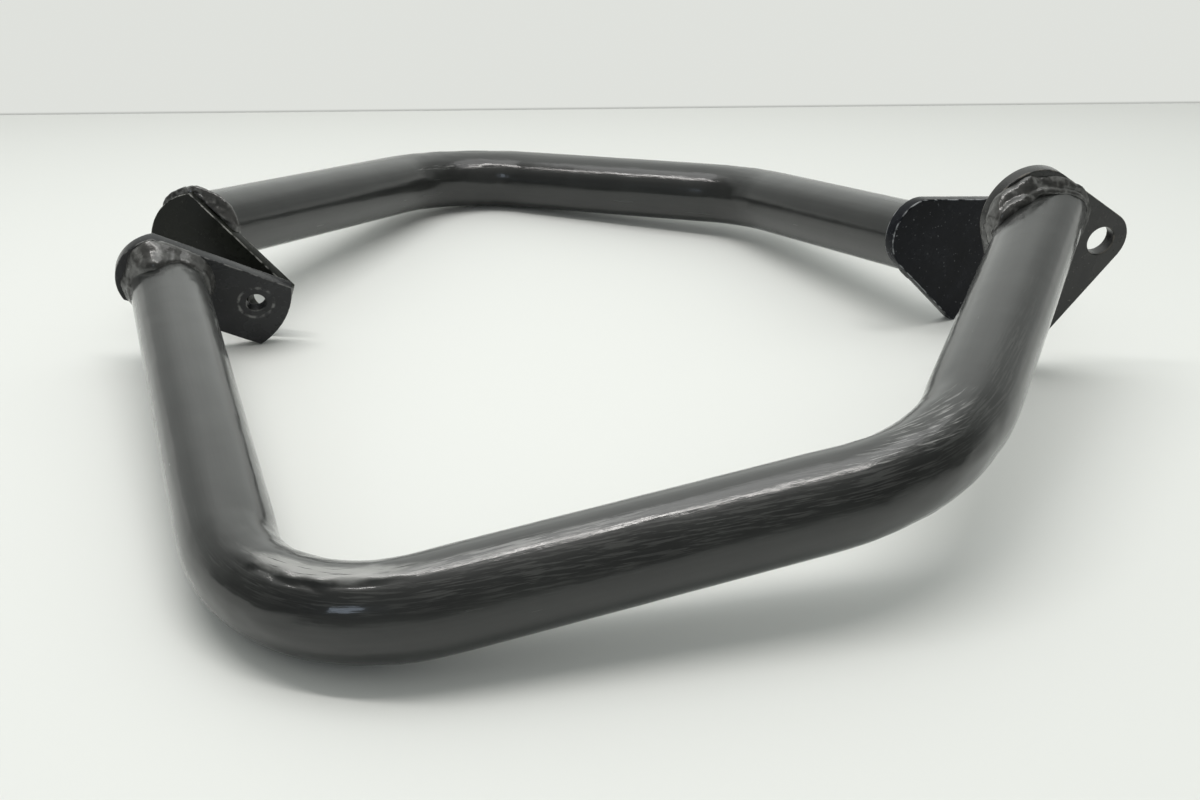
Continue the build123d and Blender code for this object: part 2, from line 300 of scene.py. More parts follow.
flat = add(t, "ShaderNodeVectorRotate", {"Vector": flat, "Angle": given["Slope"]},
           rotation_type="Z_AXIS").outputs[0]
lines = noise(t, vector(t, "MULTIPLY", flat, (70.0, 1100.0, 1.0)), 1.0, 3.0, roughness=0.65)
low = number(t, "MULTIPLY", given["Broken"], 0.62)
bare = ramp(t, lines, low, number(t, "ADD", low, 0.12))
t.links.new(number(t, "MULTIPLY", inside, bare), made["Mask"])


def new_paint(name, haze=0.7, shine=0.5):
    """Empty material with its shader, a hazy coat over the gloss, and the tree to build in."""
    paint = bpy.data.materials.new(name)
    paint.use_nodes = True
    shader = paint.node_tree.nodes["Principled BSDF"].inputs
    shader["IOR"].default_value = 1.5
    shader["Specular IOR Level"].default_value = shine
    shader["Coat Weight"].default_value = haze
    shader["Coat Roughness"].default_value = 0.5
    shader["Coat IOR"].default_value = 1.5
    return paint, paint.node_tree, shader


def brush_on(tree, shader, places, rubbed, depth, **values):
    """Brushed paint in a material: the places that it follows, its mask of wear and painted highlight, and how
    deep its lumps are.
    """
    coat = add(tree, "ShaderNodeGroup", node_tree=brushed)
    tree.links.new(places, coat.inputs["Vector"])
    tree.links.new(rubbed, coat.inputs["Rubbed"])
    for name, value in values.items():
        coat.inputs[name].default_value = value
    tree.links.new(coat.outputs["Color"], shader["Base Color"])
    tree.links.new(coat.outputs["Roughness"], shader["Roughness"])
    lumps = {"Height": coat.outputs["Height"], "Strength": 1.0, "Distance": depth}
    tree.links.new(add(tree, "ShaderNodeBump", lumps).outputs[0], shader["Normal"])


def wear_and_highlight_patches(tree, unbent, *places):
    """Mask of several places, scuffed ones and painted highlights, each with its strength and its sizes, the
    angles in degrees.
    """
    mask = 0.0
    for place in places:
        one = add(tree, "ShaderNodeGroup", node_tree=wear_and_highlight_patch)
        tree.links.new(unbent, one.inputs["Unbent"])
        for name in ("along", "reach", "broken"):
            one.inputs[name.capitalize()].default_value = place[name]
        for name in ("angle", "spread", "slope"):
            one.inputs[name.capitalize()].default_value = radians(place[name])
        mask = number(tree, "MAXIMUM", number(tree, "MULTIPLY", one.outputs["Mask"], place["strength"]), mask)
    return mask


# Fold patch: partly rubbed paint and partly a painted highlight of the long lamp on the fold's flat top.
fold_rub_and_highlight = dict(strength=0.9, along=0.264, reach=0.036, angle=88, spread=17, broken=0.50, slope=0)
# Outer patch on the second bend: scratched paint and a painted highlight along the long lamp's streak.
outer_bend_rub_and_highlight = dict(strength=0.65, along=0.463, reach=0.030, angle=82, spread=38, broken=0.83, slope=14)
# Dashes at the start of the second bend: a painted highlight, the broken edge of the long lamp's streak.
bend_highlight_dashes = dict(strength=0.8, along=0.437, reach=0.030, angle=69, spread=9, broken=0.90, slope=6)
# Line along the middle run: rub marks and a painted highlight where the long lamp's streak lies.
run_rub_and_highlight = dict(strength=0.4, along=0.315, reach=0.060, angle=82, spread=10, broken=0.70, slope=0)
# Brush marks: real brush texture, and painted sheen that spreads the streak's highlight down over the dark band.
brush_marks_and_sheen = dict(strength=0.10, along=0.39, reach=0.20, angle=52, spread=38, broken=0.77, slope=4)
near_tube_paint, t, shader = new_paint("near_tube_paint", haze=0.75)
unbent = add(t, "ShaderNodeAttribute", attribute_name="unbent").outputs["Vector"]
wear_and_highlight_mask = wear_and_highlight_patches(t, unbent, fold_rub_and_highlight, outer_bend_rub_and_highlight, bend_highlight_dashes, run_rub_and_highlight, brush_marks_and_sheen)
brush_on(t, shader, unbent, wear_and_highlight_mask, depth=0.0006, Gloss=0.07)

near_place = lay_bar(near_middle, **near_lie)
near_axis = bar_axis(1, **near_tube)
near_strip_seat = near_place @ plate_seat(near_axis[0], near_axis[1], 1, **near_strip_angles)
near_corner_seat = near_place @ plate_seat(near_axis[3], near_axis[2], 1, **near_corner_angles)


def make_tube(name, paint, place, side, axis, sizes, strip_seat, corner_seat, **more):
    """Bent tube of one bar, on its axis."""
    line = bpy.data.meshes.new(name)
    line.from_pydata([place @ point for point in axis], [(0, 1), (1, 2), (2, 3)], [])
    return grow(name, bent_tube, line, material=paint, side=float(side), radius=TUBE_RADIUS,
                plane_normal=place.to_3x3() @ Vector((0, 0, 1)),
                strip_leg=sizes["strip_leg"], strip_bend=sizes["strip_radius"] * radians(sizes["strip_turn"]),
                strip_radius=sizes["strip_radius"], corner_leg=sizes["corner_leg"],
                corner_bend=sizes["corner_radius"] * radians(sizes["corner_turn"]),
                corner_radius=sizes["corner_radius"],
                strip_seat=strip_seat.translation, strip_facing=strip_seat.to_3x3().col[2],
                corner_seat=corner_seat.translation, corner_facing=corner_seat.to_3x3().col[2], **more)


piece = make_tube("near_bent_tube", near_tube_paint, near_place, 1, near_axis, near_tube,
                  near_strip_seat, near_corner_seat, outer_flat=0.10, inner_flat=0.053, crease=0.0012,
                  waves=0.00012, fold=0.0006, seed=3.0)
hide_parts("near_tube")
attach(piece, "root")


# Near strip plate: a short piece of 35 mm flat bar with both ends cut round, drilled for a bolt. It is welded
# over the tube's end, and a bolt's washer has left its print in the paint round the hole.
PLATE_THICKNESS = 0.006
STRIP_WIDTH = 0.035
near_strip = dict(rise=0.0034, back=0.0244, back_radius=0.0215, reach=0.0552, setback=0.0161, lift=0.0037)
strip_end_radius = 0.0373
strip_hole_radius = 0.0045
hole_steps = 48
washer_radius = 0.0081
even_brush = (130.0, 130.0, 130.0)


def arc(centre, radius, start, end, steps=32):
    """Points of an arc, from one angle to the other."""
    return [(centre[0] + radius * cos(start + (end - start) * n / steps),
             centre[1] + radius * sin(start + (end - start) * n / steps)) for n in range(steps + 1)]


def strip_outline(rise, back, back_radius, reach, setback, lift):
    """Outline of the flat bar with its two round-cut ends, and the middle of its bolt hole."""
    half = STRIP_WIDTH / 2
    hole_turn = atan2(half, sqrt(strip_end_radius**2 - half**2))
    back_turn = atan2(half, sqrt(back_radius**2 - half**2))
    line = arc((reach - strip_end_radius, rise), strip_end_radius, -hole_turn, hole_turn)
    line += arc((back_radius - back, rise), back_radius, pi - back_turn, pi + back_turn)
    return line, (reach - setback, rise + lift)


def cut_plate(name, paint, seat, side, outline, hole, hole_radius, rounding=0.0006):
    """Plate cut to an outline and drilled, its edges rounded by paint. It keeps each face's share of rounded
    edge and each point's place from the bolt hole, for the paint."""
    flat = bpy.data.curves.new(name, "CURVE")
    flat.dimensions = "2D"
    flat.fill_mode = "BOTH"
    flat.extrude = PLATE_THICKNESS / 2 - rounding
    flat.bevel_depth = rounding
    flat.bevel_resolution = 3
    flat.offset = -rounding
    drilled = arc(hole, hole_radius, 0, 2 * pi * (hole_steps - 1) / hole_steps, hole_steps - 1)
    for line in (outline, drilled):
        spline = flat.splines.new("POLY")
        spline.points.add(len(line) - 1)
        for point, (x, y) in zip(spline.points, line):
            point.co = (x, y, 0, 1)
        spline.use_cyclic_u = True
    cut = bpy.data.objects.new(name, flat)
    bpy.context.scene.collection.objects.link(cut)
    graph = bpy.context.evaluated_depsgraph_get()
    mesh = bpy.data.meshes.new_from_object(cut.evaluated_get(graph))
    bpy.data.objects.remove(cut)
    edge = mesh.attributes.new("edge", "FLOAT", "FACE")
    upright, level = 0.05, 0.95
    for face in mesh.polygons:
        edge.data[face.index].value = upright < abs(face.normal.z) < level
        face.use_smooth = abs(face.normal.z) < level
    place = mesh.attributes.new("cut", "FLOAT_VECTOR", "POINT")
    for point in mesh.vertices:
        place.data[point.index].vector = (point.co.x - hole[0], point.co.y - hole[1], point.co.z)
    mesh.transform(seat @ Matrix.Translation((0, 0, -side * PLATE_THICKNESS / 2)))
    mesh.materials.clear()
    mesh.materials.append(paint)
    piece = bpy.data.objects.new(name, mesh)
    bpy.context.scene.collection.objects.link(piece)
    return piece


# Worn rim of a plate: rubbed bare in spots along its rounded edges, with a few specks on its faces
worn_rim, given, made = new_group(
    "Worn rim", "ShaderNodeTree",
    [("Cut", "Vector", None), ("Edge", "Float", 0.0), ("Rim", "Float", 0.6), ("Specks", "Float", 0.3)],
    [("Mask", "Float")])
t = worn_rim
rubs = noise(t, given["Cut"], 260.0, 4.0)
dots = noise(t, given["Cut"], 620.0, 2.0)
rim = number(t, "MULTIPLY", number(t, "MULTIPLY", given["Edge"], given["Rim"]), ramp(t, rubs, 0.40, 0.60))
dots = number(t, "MULTIPLY", given["Specks"], ramp(t, dots, 0.67, 0.74))
t.links.new(number(t, "MAXIMUM", rim, dots), made["Mask"])


def plate_wear(tree, rim, specks):
    """Places on a plate from its bolt hole, and the mask of its wear."""
    places = add(tree, "ShaderNodeAttribute", attribute_name="cut").outputs["Vector"]
    edge = add(tree, "ShaderNodeAttribute", attribute_name="edge").outputs["Fac"]
    wear_and_highlight_mask = add(tree, "ShaderNodeGroup", node_tree=worn_rim)
    tree.links.new(places, wear_and_highlight_mask.inputs["Cut"])
    tree.links.new(edge, wear_and_highlight_mask.inputs["Edge"])
    wear_and_highlight_mask.inputs["Rim"].default_value = rim
    wear_and_highlight_mask.inputs["Specks"].default_value = specks
    return places, wear_and_highlight_mask.outputs["Mask"]


near_strip_paint, t, shader = new_paint("near_strip_paint", haze=0.35, shine=0.22)
places, wear_and_highlight_mask = plate_wear(t, rim=0.45, specks=0.12)
from_hole = vector(t, "LENGTH", vector(t, "MULTIPLY", places, (1.0, 1.0, 0.0)))
off_print = number(t, "ABSOLUTE", number(t, "SUBTRACT", from_hole, washer_radius))
washer_print = number(t, "MULTIPLY", ramp(t, off_print, 0.0002, 0.0010, 1.0, 0.0),
                      ramp(t, noise(t, places, 300.0, 3.0), 0.42, 0.64))
wear_and_highlight_mask = number(t, "MAXIMUM", wear_and_highlight_mask, number(t, "MULTIPLY", washer_print, 0.7))
brush_on(t, shader, places, wear_and_highlight_mask, depth=0.0005, Brush=even_brush, Gloss=0.20,
         Dark=(0.007, 0.0075, 0.009, 1), Pale=(0.018, 0.019, 0.021, 1), Bare=(0.24, 0.24, 0.23, 1))

outline, hole = strip_outline(**near_strip)
piece = cut_plate("near_strip", near_strip_paint, near_strip_seat, 1, outline, hole, strip_hole_radius)
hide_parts("near_strip_plate")
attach(piece, "root")


# Near three-cornered plate: flame-cut from 6 mm plate with three round corners, drilled for the bigger bolt.
# The tube's slanted end is welded to its front, beside the hole.
corner_hole_radius = 0.0065
foot_radius = 0.0015
near_corner = dict(tube=(-0.0053, 0.0039), tube_radius=0.0216, hole=(0.0325, -0.0112), hole_radius=0.0132,
                   foot=(0.0009, -0.0719))


def corner_outline(tube, tube_radius, hole, hole_radius, foot):
    """Three round corners joined by straight cuts, from the tube's corner to the foot's and the hole's."""
    corners = [(tube, tube_radius), (foot, foot_radius), (hole, hole_radius)]
    line = []
    leaving = []
    for (here, r), (there, s) in zip(corners, corners[1:] + corners[:1]):
        gap = hypot(there[0] - here[0], there[1] - here[1])
        heading = atan2(there[1] - here[1], there[0] - here[0])
        leaving.append(heading - pi / 2 + atan2(r - s, sqrt(gap**2 - (r - s) ** 2)))
    for n, (centre, radius) in enumerate(corners):
        start, end = leaving[n - 1], leaving[n]
        while end < start:
            end += 2 * pi
        line += arc(centre, radius, start, end)
    return line


near_corner_paint, t, shader = new_paint("near_corner_paint", haze=0.45, shine=0.28)
places, wear_and_highlight_mask = plate_wear(t, rim=0.55, specks=0.25)
brush_on(t, shader, places, wear_and_highlight_mask, depth=0.0005, Brush=even_brush, Gloss=0.22,
         Dark=(0.009, 0.0092, 0.0095, 1), Pale=(0.022, 0.022, 0.021, 1), Bare=(0.17, 0.155, 0.13, 1))

piece = cut_plate("near_three_cornered", near_corner_paint, near_corner_seat, 1,
                  corner_outline(**near_corner), near_corner["hole"], corner_hole_radius)
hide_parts("near_triangle_plate")
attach(piece, "root")


# Near strip weld: a bead of weld metal laid by hand round the tube's end on the strip plate, in several short
# runs. It fills the corner between the two, runs out thin on the tube, and is painted with them.
ring_points = 320
section_points = 48
edge_room = 0.0004
flow_rounds = 10
blob_sharpness = 14.0
face_share = 0.45
weave_reach = 2.4
weld_bead, given, made = new_group(
    "Weld bead", "GeometryNodeTree",
    [("Geometry", "Geometry", None), ("Material", "Material", None), ("Leg", "Float", 0.004),
     ("Rise", "Float", 0.8), ("Toe", "Vector", (-0.15, -1.25, 0)), ("Face", "Vector", (0.42, -0.50, 0)),
     ("Blob", "Float", 0.0), ("Blob way", "Vector", (0, 1, 0)), ("Overlap", "Float", 0.0),
     ("Long half", "Float", 0.02), ("Short half", "Float", 0.017), ("Slant", "Float", 0.0),
     ("Swell", "Vector", (0, 0, 0)), ("First way", "Vector", (0, 1, 0)), ("First edge", "Float", 1.0),
     ("Second way", "Vector", (0, -1, 0)), ("Second edge", "Float", 1.0),
     ("Corner", "Vector", (0, 0, 0)), ("Corner radius", "Float", 1.0), ("Overhang", "Float", 0.2),
     ("Centre", "Vector", (0, 0, 0)), ("Turn", "Vector", (0, 0, 0)), ("Runs", "Float", 5.0),
     ("Passes", "Float", 1.0), ("Furrow", "Float", 0.0003), ("Lumps", "Float", 0.0008), ("Seed", "Float", 0.0)],
    [("Geometry", "Geometry")])
t = weld_bead
ring = add(t, "GeometryNodeCurvePrimitiveCircle", {"Resolution": 200, "Radius": 1.0}).outputs[0]
stretch = add(t, "ShaderNodeCombineXYZ", (given["Long half"], given["Short half"], 1.0)).outputs[0]
ring = add(t, "GeometryNodeTransform", {"Geometry": ring, "Scale": stretch}).outputs[0]
ring = add(t, "GeometryNodeResampleCurve", {"Curve": ring, "Count": ring_points}, mode="COUNT").outputs[0]
place = add(t, "GeometryNodeInputPosition").outputs[0]
round_ring = add(t, "GeometryNodeSplineParameter").outputs["Factor"]
wander = noise(t, place, 75.0, 1.0, seed=given["Seed"])
run = number(t, "FRACT", number(t, "MULTIPLY_ADD", round_ring, given["Runs"], given["Seed"]))
size = number(t, "ADD", number(t, "MULTIPLY_ADD", wander, 0.8, 0.62), ramp(t, run, 0.0, 0.5, 0.16, 0.0))
from_axis = vector(t, "NORMALIZE", place)
swell = vector(t, "DOT_PRODUCT", from_axis, given["Swell"])
blob = number(t, "MAXIMUM", vector(t, "DOT_PRODUCT", from_axis, given["Blob way"]), 0.0)
swell = number(t, "MULTIPLY_ADD", number(t, "POWER", blob, blob_sharpness), given["Blob"], swell)
size = number(t, "MULTIPLY", size, number(t, "ADD", swell, 1.0))

# Section of the bead: from its toe on the tube over its face to its toe on the plate, and back inside the two
section = add(t, "GeometryNodeCurvePrimitiveQuadrilateral",
              {"Point 1": given["Toe"], "Point 2": given["Face"], "Point 3": (1.0, 0.45, 0),
               "Point 4": (-0.8, 0.55, 0)}, mode="POINTS").outputs[0]
section = add(t, "GeometryNodeFilletCurve",
              {"Curve": section, "Count": 8, "Radius": 0.35, "Limit Radius": True}, mode="POLY").outputs[0]
section = add(t, "GeometryNodeResampleCurve", {"Curve": section, "Count": section_points},
              mode="COUNT").outputs[0]
tall = number(t, "MULTIPLY", given["Leg"], given["Rise"])
thick = add(t, "ShaderNodeCombineXYZ", (given["Leg"], tall, tall)).outputs[0]
section = add(t, "GeometryNodeTransform", {"Geometry": section, "Scale": thick}).outputs[0]
keep = add(t, "GeometryNodeCaptureAttribute", {"Geometry": section}, domain="POINT")
keep.capture_items.new("FLOAT", "Over")
t.links.new(add(t, "GeometryNodeSplineParameter").outputs["Factor"], keep.inputs["Over"])
bead = add(t, "GeometryNodeCurveToMesh",
           {"Curve": ring, "Profile Curve": keep.outputs[0], "Scale": size}).outputs[0]

# The bead leans with its tube, and is kept to two edges of the plate and to the round corner between them. Then
# it flows together a little.
level = add(t, "ShaderNodeSeparateXYZ", (place,)).outputs[2]
lean = number(t, "MULTIPLY", number(t, "MAXIMUM", level, 0.0), number(t, "MULTIPLY", given["Slant"], -1.0))
lean = add(t, "ShaderNodeCombineXYZ", (lean, 0.0, 0.0)).outputs[0]
bead = add(t, "GeometryNodeSetPosition", {"Geometry": bead, "Offset": lean}).outputs[0]
room = number(t, "MAXIMUM", number(t, "ADD", level, given["Overlap"]), 0.0)
room = number(t, "MULTIPLY_ADD", room, given["Overhang"], edge_room)
from_corner = vector(t, "MULTIPLY", vector(t, "SUBTRACT", place, given["Corner"]), (1.0, 1.0, 0.0))
in_corner = vector(t, "DOT_PRODUCT", from_corner, vector(t, "ADD", given["First way"], given["Second way"]))
past = number(t, "SUBTRACT", vector(t, "LENGTH", from_corner), number(t, "ADD", given["Corner radius"], room))
past = number(t, "MULTIPLY", number(t, "MAXIMUM", past, 0.0), number(t, "GREATER_THAN", in_corner, 0.0))
back = vector(t, "SCALE", vector(t, "NORMALIZE", from_corner), number(t, "MULTIPLY", past, -1.0))
bead = add(t, "GeometryNodeSetPosition", {"Geometry": bead, "Offset": back}).outputs[0]
for way, edge in (("First way", "First edge"), ("Second way", "Second edge")):
    past = vector(t, "DOT_PRODUCT", place, given[way])
    past = number(t, "SUBTRACT", past, number(t, "ADD", given[edge], room))
    back = vector(t, "SCALE", given[way], number(t, "MULTIPLY", number(t, "MAXIMUM", past, 0.0), -1.0))
    bead = add(t, "GeometryNodeSetPosition", {"Geometry": bead, "Offset": back}).outputs[0]
flowed = add(t, "GeometryNodeBlurAttribute", {"Value": place, "Iterations": flow_rounds},
             data_type="FLOAT_VECTOR").outputs[0]
bead = add(t, "GeometryNodeSetPosition", {"Geometry": bead, "Position": flowed}).outputs[0]

# Its lumps, and the furrows between its passes
lumps = noise(t, place, 230.0, 2.0, seed=given["Seed"])
weave = noise(t, place, 60.0, 1.0, seed=given["Seed"])
over = number(t, "MULTIPLY_ADD", keep.outputs["Over"], number(t, "DIVIDE", given["Passes"], face_share),
              number(t, "MULTIPLY", number(t, "SUBTRACT", weave, 0.5), weave_reach))
furrow = number(t, "POWER", number(t, "ABSOLUTE", number(t, "SINE", number(t, "MULTIPLY", over, pi))), 0.6)
lift = number(t, "MULTIPLY", number(t, "SUBTRACT", lumps, 0.5), given["Lumps"])
lift = number(t, "ADD", lift, number(t, "MULTIPLY", number(t, "SUBTRACT", furrow, 0.75), given["Furrow"]))
lift = vector(t, "SCALE", add(t, "GeometryNodeInputNormal").outputs[0], lift)
bead = add(t, "GeometryNodeSetPosition", {"Geometry": bead, "Offset": lift}).outputs[0]
bead = add(t, "GeometryNodeTransform",
           {"Geometry": bead, "Translation": given["Centre"], "Rotation": given["Turn"]}).outputs[0]
bead = add(t, "GeometryNodeSetShadeSmooth", {"Geometry": bead}).outputs[0]
bead = add(t, "GeometryNodeRealizeInstances", (bead,)).outputs[0]
bead = add(t, "GeometryNodeSetMaterial", {"Geometry": bead, "Material": given["Material"]}).outputs[0]
t.links.new(bead, made["Geometry"])


def lay_bead(name, seat, side, leg_way, edges, corner, swell, blob_way=(0, 1), **sizes):
    """Bead round a tube's end: an oval on the plate's face, stretched the way that the tube leans. The plate's
    two edges are given as (way, distance), its round corner as (middle, radius), all on the plate's face."""
    facing = seat.to_3x3().col[2] * side
    straight = -leg_way.dot(facing)
    lean = (leg_way + facing * straight).normalized()
    across = facing.cross(lean)
    turn = Matrix((lean, across, facing)).transposed()

    def in_bead(x, y):
        flat = seat.to_3x3() @ Vector((x, y, 0))
        return Vector((flat.dot(lean), flat.dot(across), 0))

    return grow(name, weld_bead, bpy.data.meshes.new(name), material=weld_paint,
                long_half=TUBE_RADIUS / straight, short_half=TUBE_RADIUS, slant=sqrt(1 - straight**2) / straight,
                centre=seat.translation, turn=Vector(turn.to_euler()),
                swell=in_bead(*swell), blob_way=in_bead(*blob_way),
                corner=in_bead(*corner[0]), corner_radius=corner[1],
                first_way=in_bead(*edges[0][0]), first_edge=edges[0][1],
                second_way=in_bead(*edges[1][0]), second_edge=edges[1][1], **sizes)


def leg_ways(place, axis):
    """Directions in which a bar's two legs end."""
    turn = place.to_3x3()
    return turn @ (axis[0] - axis[1]).normalized(), turn @ (axis[3] - axis[2]).normalized()


def strip_edges(rise, **others):
    """The two long edges of a strip plate."""
    return ((0, 1), STRIP_WIDTH / 2 + rise), ((0, -1), STRIP_WIDTH / 2 - rise)


# Weld paint: on the real thing the same black as the tubes. Here it is given a lighter colour and pale patches,
# painted light standing in for the light that the beads' up-facing lumps catch.
weld_paint, t, shader = new_paint("weld_paint", haze=0.4)
places = add(t, "ShaderNodeTexCoord").outputs["Object"]
wear_and_highlight_mask = number(t, "MULTIPLY", ramp(t, noise(t, places, 190.0, 3.0), 0.50, 0.72), 0.30)
brush_on(t, shader, places, wear_and_highlight_mask, depth=0.0005, Gloss=0.11,
         Dark=(0.015, 0.015, 0.014, 1), Pale=(0.052, 0.051, 0.048, 1))

near_strip_way, near_corner_way = leg_ways(near_place, near_axis)
no_corner = ((0, 0), 1.0)
piece = lay_bead("near_strip_bead", near_strip_seat, 1, near_strip_way, strip_edges(**near_strip), no_corner,
                 swell=(-0.15, 0.45), blob=1.5, blob_way=(-0.77, 0.64), overhang=1.3,
                 leg=0.0046, rise=0.75, toe=(-0.10, -2.8, 0), face=(0.36, -0.70, 0),
                 runs=4.0, passes=1.0, furrow=0.0003, lumps=0.0010, seed=1.75)
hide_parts("near_strip_weld")
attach(piece, "root")


# Near three-cornered plate's weld: a wide bead of two passes round the tube's slanted end, with furrows between
# the passes. It stays inside the plate's outline and is painted with it.
def corner_edges(tube, tube_radius, hole, hole_radius, foot):
    """The two edges of a three-cornered plate that leave the tube's corner, to the hole and to the foot."""
    edges = []
    for there, radius, turn in ((hole, hole_radius, 1), (foot, foot_radius, -1)):
        gap = hypot(there[0] - tube[0], there[1] - tube[1])
        heading = atan2(there[1] - tube[1], there[0] - tube[0])
        facing = heading + turn * atan2(sqrt(gap**2 - (tube_radius - radius) ** 2), tube_radius - radius)
        way = (cos(facing), sin(facing))
        edges.append((way, tube[0] * way[0] + tube[1] * way[1] + tube_radius))
    return edges


near_round = (near_corner["tube"], near_corner["tube_radius"])
piece = lay_bead("near_corner_bead", near_corner_seat, 1, near_corner_way, corner_edges(**near_corner), near_round,
                 swell=(-0.75, 0.05), leg=0.0075, rise=0.60, toe=(-0.08, -2.3, 0), face=(0.45, -0.60, 0),
                 runs=5.0, passes=2.0, furrow=0.0011, lumps=0.0014, seed=2.6)
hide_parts("near_triangle_weld")
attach(piece, "root")


# Far tube: the second bar's tube, a little smaller and bent to the other side. It is cut and brushed as the near
# one, but lies out of the way of knocks, so it has kept more of its gloss.
far_tube = dict(strip_leg=0.1739, strip_turn=86.6, strip_radius=0.0593, middle_run=0.1133,
                corner_turn=40.8, corner_radius=0.0691, corner_leg=0.1277)
far_strip_angles = dict(swing=10.8, nod=8.4, roll=-43.8)
far_corner_angles = dict(swing=2.3, nod=7.7, roll=5.5)
far_middle = (0.002211, 0.206177, 0.019522)
far_lie = dict(heading=-21.1, climb=2.36, lean=-8.94)
far_place = lay_bar(far_middle, **far_lie)
far_axis = bar_axis(-1, **far_tube)
far_strip_seat = far_place @ plate_seat(far_axis[0], far_axis[1], -1, **far_strip_angles)
far_corner_seat = far_place @ plate_seat(far_axis[3], far_axis[2], -1, **far_corner_angles)

far_bend_rub = dict(strength=0.35, along=0.215, reach=0.05, angle=146, spread=9, broken=0.8, slope=0)
far_tube_paint, t, shader = new_paint("far_tube_paint")
unbent = add(t, "ShaderNodeAttribute", attribute_name="unbent").outputs["Vector"]
brush_on(t, shader, unbent, wear_and_highlight_patches(t, unbent, far_bend_rub), depth=0.0006, Gloss=0.09)

piece = make_tube("far_bent_tube", far_tube_paint, far_place, -1, far_axis, far_tube,
                  far_strip_seat, far_corner_seat, outer_flat=0.05, inner_flat=0.03, crease=0.0008,
                  waves=0.00012, seed=8.0)
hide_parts("far_tube")
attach(piece, "root")


# Far strip plate: the same flat bar as on the near bar, cut a little shorter behind the tube. Its edges are
# rubbed bare in a thin line, and its face to the viewer is given a darker, greener black than the near strip's.
far_strip = dict(rise=-0.0036, back=0.0190, back_radius=0.0280, reach=0.0552, setback=0.0122, lift=0.0)

far_strip_paint, t, shader = new_paint("far_strip_paint", haze=0.22, shine=0.14)
places, wear_and_highlight_mask = plate_wear(t, rim=0.7, specks=0.08)
brush_on(t, shader, places, wear_and_highlight_mask, depth=0.0005, Brush=even_brush, Gloss=0.22,
         Dark=(0.0035, 0.0046, 0.0032, 1), Pale=(0.0100, 0.0110, 0.0070, 1), Bare=(0.30, 0.30, 0.28, 1))

outline, hole = strip_outline(**far_strip)
piece = cut_plate("far_strip", far_strip_paint, far_strip_seat, -1, outline, hole, strip_hole_radius)
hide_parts("far_strip_plate")
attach(piece, "root")


# Far three-cornered plate: flame-cut as the near one, with its foot further to the side. Its face is specked with
# wear and its top edge is rubbed bare.
far_corner = dict(tube=(-0.0099, 0.0061), tube_radius=0.0174, hole=(0.0399, 0.0031), hole_radius=0.0127,
                  foot=(0.0177, -0.0417))

far_corner_paint, t, shader = new_paint("far_corner_paint", haze=0.06, shine=0.08)
places, wear_and_highlight_mask = plate_wear(t, rim=0.8, specks=0.35)
brush_on(t, shader, places, wear_and_highlight_mask, depth=0.0005, Brush=even_brush, Gloss=0.20,
         Dark=(0.0045, 0.0050, 0.0068, 1), Pale=(0.0110, 0.0122, 0.0160, 1), Bare=(0.30, 0.31, 0.32, 1))

piece = cut_plate("far_three_cornered", far_corner_paint, far_corner_seat, -1,
                  corner_outline(**far_corner), far_corner["hole"], corner_hole_radius)
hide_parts("far_triangle_plate")
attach(piece, "root")


# Far strip weld: a bead as on the near strip plate. The tube overhangs the plate's upper edge here, and the bead
# slopes from the tube down to that edge.
far_strip_way, far_corner_way = leg_ways(far_place, far_axis)
piece = lay_bead("far_strip_bead", far_strip_seat, -1, far_strip_way, strip_edges(**far_strip), no_corner,
                 swell=(0, 0.2), overhang=1.3, overlap=0.0035, leg=0.0050, rise=0.9,
                 runs=4.0, passes=1.0, furrow=0.0006, lumps=0.0016, seed=4.1)
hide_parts("far_strip_weld")
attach(piece, "root")


# Far three-cornered plate's weld: a plain bead of one pass round the tube's end, on the plate's side away from
# the viewer. It stays inside the plate's outline and is painted with it.
far_round = (far_corner["tube"], far_corner["tube_radius"])
piece = lay_bead("far_corner_bead", far_corner_seat, -1, far_corner_way, corner_edges(**far_corner), far_round,
                 swell=(0, 0), leg=0.0042, runs=4.0, passes=1.0, furrow=0.0003, lumps=0.0010, seed=5.7)
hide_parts("far_triangle_weld")
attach(piece, "root")


# Table and wall: a white table top and a white wall behind its far edge, which runs a little aslant. A thin
# shadow lies where the two meet.
table_colour = (0.70, 0.712, 0.694, 1)
wall_colour = (0.8, 0.8, 0.78, 1)
wall_glow = (0.74, 0.755, 0.72, 1)
wall_height = 0.12
reach = 4
back_edge, back_slope = 0.4696, 0.0403


def sheet(name, corners, colour):
    """Flat sheet of the room, in one plain colour."""
    mesh = bpy.data.meshes.new(name)
    mesh.from_pydata(corners, [], [(0, 1, 2, 3)])
    paint = bpy.data.materials.new(name)
    paint.use_nodes = True
    paint.node_tree.nodes["Principled BSDF"].inputs["Base Color"].default_value = colour
    paint.node_tree.nodes["Principled BSDF"].inputs["Roughness"].default_value = 0.6
    mesh.materials.append(paint)
    made = bpy.data.objects.new(name, mesh)
    bpy.context.scene.collection.objects.link(made)
    return paint


left_back = (-reach, back_edge - reach * back_slope, 0)
right_back = (reach, back_edge + reach * back_slope, 0)
sheet("table", [(-reach, -reach, 0), (reach, -reach, 0), right_back, left_back], table_colour)
wall_paint = sheet("wall", [left_back, right_back, right_back[:2] + (wall_height,),
                            left_back[:2] + (wall_height,)], wall_colour)
t = wall_paint.node_tree
up = add(t, "ShaderNodeSeparateXYZ", (add(t, "ShaderNodeTexCoord").outputs["Object"],)).outputs[2]
glow = add(t, "ShaderNodeEmission", {"Color": wall_glow, "Strength": ramp(t, up, 0.0, 0.0022, 0.6, 1.0)})
behind = add(t, "ShaderNodeNewGeometry").outputs["Backfacing"]
clear = add(t, "ShaderNodeBsdfTransparent").outputs[0]
seen = add(t, "ShaderNodeMixShader", (behind, glow.outputs[0], clear)).outputs[0]
t.links.new(seen, t.nodes["Material Output"].inputs["Surface"])


